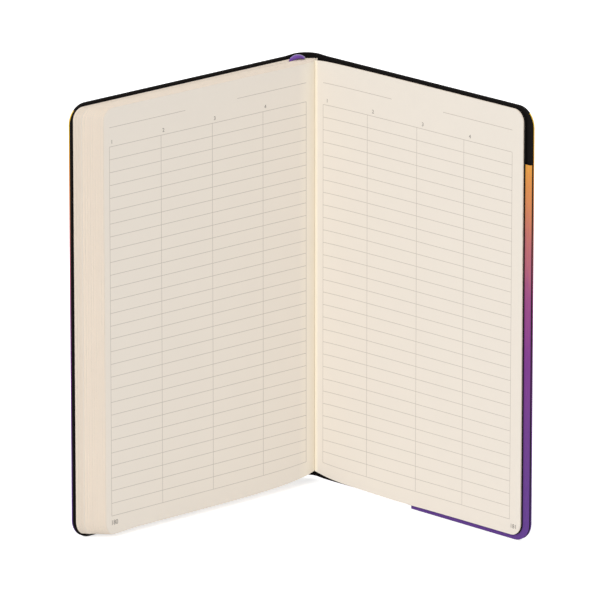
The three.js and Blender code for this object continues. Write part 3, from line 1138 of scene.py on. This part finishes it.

# %% [markdown]
# Between the cream block and the cover lies a black flyleaf on each side. It and the lining
# are one folded sheet, which is what holds the block in the cover, so each flyleaf has a
# black fold too. It is laid by the same functions as the leaves, so that it takes the same
# bend.

# %% The back flyleaf
# The back flyleaf is real, but it is cut 0.7 mm wider than the leaves so that its black edge
# stands out past the page edge. That thin dark strip is painted shade for the shadow the pages
# cast on the pocket.
FLYLEAF_SHADE_REACH = 0.7 * MM
both_black = (black_paper, black_paper)
p = back_flyleaf_near + FLYLEAF_THICKNESS / 2
flyleaf = right_sheet("back_flyleaf_sheet", p, RIGHT_FOLD_END,
                      RIGHT_EDGE - EDGE_SLANT * p + FLYLEAF_SHADE_REACH, PAGE_CORNER,
                      "back_flyleaf", both_black)
at(right_plan(p, RIGHT_FOLD_END), 0)
at(right_plan(p, STACK_BEND_END), 0)
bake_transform(flyleaf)
back_fold = right_sheet("back_flyleaf_fold", p, -FOLD_DEPTH, RIGHT_FOLD_END, 0,
                        "back_pastedown", both_black)
at(right_plan(p, 0), 0)
at(right_plan(p, RIGHT_FOLD_END), 0)
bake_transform(back_fold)
print("back flyleaf is", round((RIGHT_EDGE - EDGE_SLANT * p + FLYLEAF_SHADE_REACH) / MM, 1), "mm wide")

# %% The front flyleaf
flyleaf_t = FIRST_LEAF_BEND - FLYLEAF_AIR - FLYLEAF_THICKNESS / 2
front_flyleaf = bind([left_leaf("front_flyleaf_sheet", flyleaf_t)], "front_flyleaf_sheet",
                     "front_flyleaf", both_black)
turn_with_left(front_flyleaf)
front_fold = bind([loose_margin("front_flyleaf_fold", flyleaf_t)], "front_flyleaf_fold",
                  "front_pastedown", both_black)
fold_with_front(front_fold)
print("front flyleaf has", len(front_flyleaf.data.polygons), "faces")
for flat in (leaf_flat, fold_flat, margin_flat):
    bpy.data.objects.remove(flat)

# %% [markdown]
# ## The pocket
#
# The pocket's front is a printed sheet of stiff paper on the back cover, closed at its
# tail and open at its head. Its outer edge is turned down on the lining, so that no gap
# shows from the side.

# %% The pocket's front
POCKET_DROP = 23 * MM
POCKET_INSET = 49 * MM
POCKET_THICKNESS = 0.3 * MM
POCKET_PAPER = 0.12 * MM
POCKET_EDGE = 0.3 * MM
POCKET_TURN = 0.9 * MM
PLEAT_WIDTH = 7 * MM
PLEAT_THICKNESS = 0.45 * MM
PLEAT_GAP = 0.06 * MM
TURN_STEPS = 5
POCKET_ROWS = (2, 4, 6, 9, 13, 18, 24, 30, 60, 110)
pocket_depth = COVER_THICKNESS + 2 * PLEAT_GAP + PLEAT_THICKNESS
pocket_top = COVER_HEIGHT - POCKET_DROP
pocket_face = pocket_depth + POCKET_THICKNESS
turn_start = PANEL_WIDTH - POCKET_TURN
turn_length = POCKET_TURN * math.pi / 2


def pocket_plan(x):
    """The panel runs flat, and its outer edge turns down on the lining in a quarter round"""
    turn = min(max(x - turn_start, 0) / POCKET_TURN, math.pi / 2)
    u = min(x, turn_start) + POCKET_TURN * math.sin(turn)
    fall = (pocket_face - COVER_THICKNESS - POCKET_PAPER) * (1 - math.cos(turn))
    return panel_plan(1, u, pocket_face - fall)


print(f"pocket is {(turn_start + turn_length - POCKET_INSET) / MM:.1f} mm wide when flat")

# %% Lay the pocket's front
pocket = flat_sheet(
    "pocket_front_sheet", POCKET_INSET, turn_start + turn_length, POCKET_EDGE, pocket_top,
    COVER_CORNER - POCKET_EDGE,
    [turn_start + turn_length * i / TURN_STEPS for i in range(TURN_STEPS)],
    [z * MM for z in POCKET_ROWS], COVER_HEIGHT / 2,
)
lay(pocket, lambda x, z: at(pocket_plan(x), z))
face_towards(pocket, (*inward(1), 0))
pocket.data.materials.append(pocket_print)
pocket.data.materials.append(black_paper)
thicken(pocket, POCKET_PAPER)
for face in pocket.data.polygons:
    if face.normal.dot(Vector((*inward(1), 0))) < -INNER_LIMIT:
        face.material_index = 1
pocket_foot = panel_plan(1, POCKET_INSET, pocket_depth)
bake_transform(pocket)
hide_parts("pocket_panel")
print(f"pocket is {(pocket_top - POCKET_EDGE) / MM:.1f} mm high")

# %% [markdown]
# Under each side of the pocket's front a strip of black paper is folded in a V, so that the
# pocket can open a little. A straight wall would be easier to model, but it couldn't fold
# flat when the pocket shuts.

# %% The pocket's pleats
PLEAT_PAPER = 0.12 * MM
PLEAT_ROWS = (13, 18, 24, 30, 60, 110)


def pleat(name, node, open_edge, fold_edge):
    """A strip folded in a V. On the flat sheet the fold is at 0 and the edges at -1 and 1."""
    sheet = flat_sheet(
        name, -1, 1, POCKET_EDGE + COVER_CORNER, pocket_top - POCKET_EDGE, 0,
        (-0.5, 0, 0.5), [z * MM for z in PLEAT_ROWS],
    )
    middle = COVER_THICKNESS + PLEAT_GAP + PLEAT_THICKNESS / 2
    spread = PLEAT_THICKNESS / 2 - PLEAT_PAPER / 2

    def place(x, z):
        u = fold_edge + (open_edge - fold_edge) * abs(x)
        return at(panel_plan(1, u, middle + spread * x), z)

    lay(sheet, place)
    sheet.data.materials.append(black_paper)
    thicken(sheet, PLEAT_PAPER, offset=0)
    back = panel_plan(1, fold_edge, middle - spread)
    front = panel_plan(1, fold_edge, middle + spread)
    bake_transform(sheet)
    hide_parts(node)
    print(name, "has", len(sheet.data.polygons), "faces")


inner_start = POCKET_INSET + POCKET_EDGE
pleat("pocket_spine_pleat_fold", "pocket_spine_pleat", inner_start, inner_start + PLEAT_WIDTH)
outer_end = PANEL_WIDTH - 2 * POCKET_EDGE
pleat("pocket_edge_pleat_fold", "pocket_edge_pleat", outer_end, outer_end - PLEAT_WIDTH)

# %% [markdown]
# ## The ribbon marker
#
# The ribbon is a strip of violet satin. It is glued to the back of the block, rises over
# the head in a soft loop and goes down between two sections. Cloth simulation could drape
# it, but would give another loop with every change. So it is laid like the paper: `over`
# runs along it and `k` across. In the loop the side near the spine is gathered and bulges
# forward, which gives the half-moon that shows over the head.

# %% The ribbon
RIBBON_WIDTH = 6.5 * MM
RIBBON_THICKNESS = 0.25 * MM
RIBBON_TAIL = 150 * MM
RIBBON_GLUED = 14 * MM
RIBBON_RISE = 1.8 * MM
RIBBON_GATHER = 2 * MM
RIBBON_BULGE = 3 * MM
BULGE_WAY = Vector((0.45, -1))
BULGE_FADE = 1.2
BULGE_LATE = 1.5
BELLY_LOW, BELLY_ROUND = 0.1, 0.7
BELLY_FROM, BELLY_SPAN = 0.02, 0.9
RIBBON_SETBACK = 0.5 * MM
RIBBON_SHIFT = 0.4 * MM
BACK_STACK = FOLD_DEPTH + 0.65 * MM

lining_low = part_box("spine_lining")[0]
ribbon_slit_t = sections[RIBBON_BEFORE] - RIBBON_SLIT / 2
ribbon_back_y = root_y + BACK_STACK + RIBBON_THICKNESS / 2


def ribbon_place(k, over):
    """k goes from 0 to 1 across, and over along: below 0 it is glued behind the block, from
    0 to 1 it loops over the head, and above 1 it hangs in the slit."""
    share = min(max(over, 0), 1)
    across = (1 - math.cos(math.pi * share)) / 2
    gather = RIBBON_GATHER * (1 - k) * min(1, max(0, 1 + 2 * over))
    behind_x = lining_low.x + RIBBON_SHIFT + RIBBON_WIDTH * (1 - k) - gather
    behind = Vector((behind_x, ribbon_back_y))
    inside = left_plan(ribbon_slit_t, RIBBON_WIDTH * k - RIBBON_SETBACK)
    arch = math.sin(math.pi * share)
    swell = math.sin(math.pi * (BELLY_FROM + BELLY_SPAN * k)) ** BELLY_ROUND
    belly = BELLY_LOW + (1 - BELLY_LOW) * swell
    z = PAGE_TOP + RIBBON_THICKNESS / 2 + RIBBON_RISE * belly * arch
    z -= max(0, -over) * RIBBON_GLUED + max(0, over - 1) * RIBBON_TAIL
    lean = math.sin(math.pi * share ** BULGE_LATE)
    bulge = BULGE_WAY * (RIBBON_BULGE * (1 - k) ** BULGE_FADE * lean)
    return at(behind.lerp(inside, across) + bulge, z)


print(f"ribbon lies in its slit {ribbon_slit_t / MM:.2f} mm from the bend's centre")

# %% Lay the ribbon
OVER_STEPS = 16
ACROSS_STEPS = 12
ribbon = flat_sheet(
    "ribbon", 0, 1, -1, 2, 0, [i / ACROSS_STEPS for i in range(1, ACROSS_STEPS)],
    [i / OVER_STEPS for i in range(OVER_STEPS + 1)],
)
ribbon_map = [(v.co.x, v.co.z) for v in ribbon.data.vertices]
lay(ribbon, ribbon_place)
print_page(ribbon, ribbon_map)
print("ribbon loop reaches", round(max(v.co.z for v in ribbon.data.vertices) / MM, 1), "mm")

# %% [markdown]
# Satin shines, and its threads run lengthwise. A wave across the ribbon's own map gives
# those thin lines in two violets, and they follow the loop. A little sheen on the shader
# lightens it where it turns away.

# %% The satin
WEAVE_SCALE = 12


def satin_base(tree):
    """The base colour of the ribbon: two violets in lines along it"""
    uv = add(tree, "UVMap", uv_map="page")
    weave = add(tree, "TexWave", wave_type="BANDS", bands_direction="X")
    weave.inputs["Scale"].default_value = WEAVE_SCALE
    tree.links.new(uv.outputs[0], weave.inputs["Vector"])
    return mix_colours(tree, weave.outputs["Fac"], colour(84, 38, 138), colour(112, 56, 168))


purple_satin = finish("purple satin", satin_base, grain_size=0.2, grain_strength=0.12,
                      bump=0.3, roughness=0.38, sheen=0.3)
ribbon.data.materials.append(purple_satin)
thicken(ribbon, RIBBON_THICKNESS, offset=0)
fold_with_front(ribbon)
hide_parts("ribbon_marker")
print("ribbon has", len(ribbon.data.polygons), "faces")

# %% [markdown]
# ## Printed figures
#
# Each page has a plain number at its outer tail corner, and the table's columns are
# numbered. Figures are hard to draw with shader nodes, so they are text made into thin
# meshes, and laid a hair above the page like the leaves, so that they bend with it.

# %% The figures
FIGURE_LIFT = 0.03 * MM
figure_ink = finish("figure ink", colour(120, 114, 108), grain_size=0.3,
                    grain_strength=0.05, bump=0.1, roughness=0.9)
print(figure_ink.name, "has", len(figure_ink.node_tree.nodes), "nodes")


def figure(name, text, size, place):
    """A line of text as a mesh, laid by place(x, y) with x and y from its lower left"""
    curve = bpy.data.curves.new(name, "FONT")
    curve.body = text
    curve.size = size
    text_object = bpy.data.objects.new(name, curve)
    bpy.context.scene.collection.objects.link(text_object)
    only(text_object)
    bpy.ops.object.convert(target="MESH")
    for vertex in text_object.data.vertices:
        vertex.co = place(vertex.co.x, vertex.co.y)
    text_object.data.update()
    text_object.data.materials.append(figure_ink)
    return text_object


def left_figure(name, text, size, s, z):
    """A figure on the left page, s from the gutter and z above the ground"""
    t = loose_left["leaf_179_180"] + LEAF_PITCH + FIGURE_LIFT
    piece = figure(name, text, size, lambda x, y: at(left_plan(t, s - x), left_height(s, z + y)))
    turn_with_left(piece)


def right_figure(name, text, size, u, z):
    """A figure on the right page, u from the gutter and z above the ground"""
    p = right_leaves[TURNING_LEAF] - FIGURE_LIFT
    start = u + VALLEY_DEPTH - right_way(right_plan(p, VALLEY_DEPTH))
    piece = figure(name, text, size,
                   lambda x, y: at(right_plan(p, start + x), right_height(start, z + y)))
    near = right_leaves[TURNING_LEAF]
    at(right_plan(near + LEAF_PITCH, STACK_BEND_END), 0)
    at(right_plan(near, TURN_END), 0)
    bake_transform(piece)


# %% Number the pages and the columns
NUMBER_SIZE = 2.4 * MM
LEFT_NUMBER_PLACE = (111.0 * MM, 6.4 * MM)
RIGHT_NUMBER_PLACE = (104.8 * MM, 5.4 * MM)
HEAD_SIZE = 2.2 * MM
HEAD_INDENT = 0.6
HEAD_LIFT = 1.2

left_figure("page_number_180", "180", NUMBER_SIZE, *LEFT_NUMBER_PLACE)
right_figure("page_number_181", "181", NUMBER_SIZE, *RIGHT_NUMBER_PLACE)
for number, (left, right) in enumerate(zip(LEFT_COLUMNS[:0:-1], RIGHT_COLUMNS[:-1]), 1):
    left_figure(f"left_head_{number}", str(number), HEAD_SIZE,
                (left - HEAD_INDENT) * MM, (TABLE_TOP[0] + HEAD_LIFT) * MM)
    right_figure(f"right_head_{number}", str(number), HEAD_SIZE,
                 (right + HEAD_INDENT) * MM, (TABLE_TOP[1] + HEAD_LIFT) * MM)
print("columns numbered 1 to", number)

# %% [markdown]
# ## Stage and light
#
# The notebook stands on a plain white floor. More light would make a grey floor white, but
# would wash out the pages too. So the floor glows a little to the camera alone, which
# leaves the light on the notebook as it is and keeps the shadow on the floor.

# %% The floor
FLOOR_SIZE = 12.0
FLOOR_PLACE = (0, 2, 0)
FLOOR_GREY = 0.9
FLOOR_GLOW = 0.68
bpy.ops.object.select_all(action="DESELECT")
bpy.ops.mesh.primitive_plane_add(size=FLOOR_SIZE, location=FLOOR_PLACE)
floor = bpy.context.object
floor.name = "floor"
floor_material = bpy.data.materials.new("floor white")
floor_material.use_nodes = True
floor_tree = floor_material.node_tree
floor_shader = floor_tree.nodes["Principled BSDF"]
floor_shader.inputs["Base Color"].default_value = (FLOOR_GREY, FLOOR_GREY, FLOOR_GREY, 1)
floor_shader.inputs["Roughness"].default_value = 1
floor_shader.inputs["Specular IOR Level"].default_value = 0
floor_shader.inputs["Emission Color"].default_value = (1, 1, 1, 1)
light_path = add(floor_tree, "LightPath")
glow = math_node(floor_tree, "MULTIPLY", light_path.outputs["Is Camera Ray"], FLOOR_GLOW)
floor_tree.links.new(glow, floor_shader.inputs["Emission Strength"])
floor.data.materials.append(floor_material)
print("floor is", FLOOR_SIZE, "m wide")

# %% [markdown]
# The light is that of a bright studio: an even world, and one broad sun from the front left
# that shapes the pages and throws a faint shadow to the right. Area lamps would do as well,
# but each needs a place and a size, and a sun lights the same everywhere. Seen by the
# camera, in gloss or through glass, the world is plain white.

# %% The light
WORLD_LEVEL = 0.72
SUN_LEVEL = 1.15
SUN_SPREAD = math.radians(35)
SUN_WAY = Vector((0.35, 1.0, -0.75))
world = bpy.data.worlds.new("studio")
bpy.context.scene.world = world
world.use_nodes = True
world_tree = world.node_tree
background = world_tree.nodes["Background"]
background.inputs["Color"].default_value = (1, 1, 1, 1)
rays = add(world_tree, "LightPath")
seen = math_node(world_tree, "MAXIMUM", rays.outputs["Is Camera Ray"],
                 rays.outputs["Is Glossy Ray"])
seen = math_node(world_tree, "MAXIMUM", seen, rays.outputs["Is Transmission Ray"])
level = math_node(world_tree, "ADD", math_node(world_tree, "MULTIPLY", seen, 1 - WORLD_LEVEL),
                  WORLD_LEVEL)
world_tree.links.new(level, background.inputs["Strength"])

sun_data = bpy.data.lights.new("sun", "SUN")
sun_data.energy = SUN_LEVEL
sun_data.angle = SUN_SPREAD
sun = bpy.data.objects.new("sun", sun_data)
sun.rotation_euler = SUN_WAY.to_track_quat("-Z", "Y").to_euler()
bpy.context.scene.collection.objects.link(sun)

bpy.context.scene.view_settings.view_transform = "Standard"
print("world at", WORLD_LEVEL, "and sun at", SUN_LEVEL)
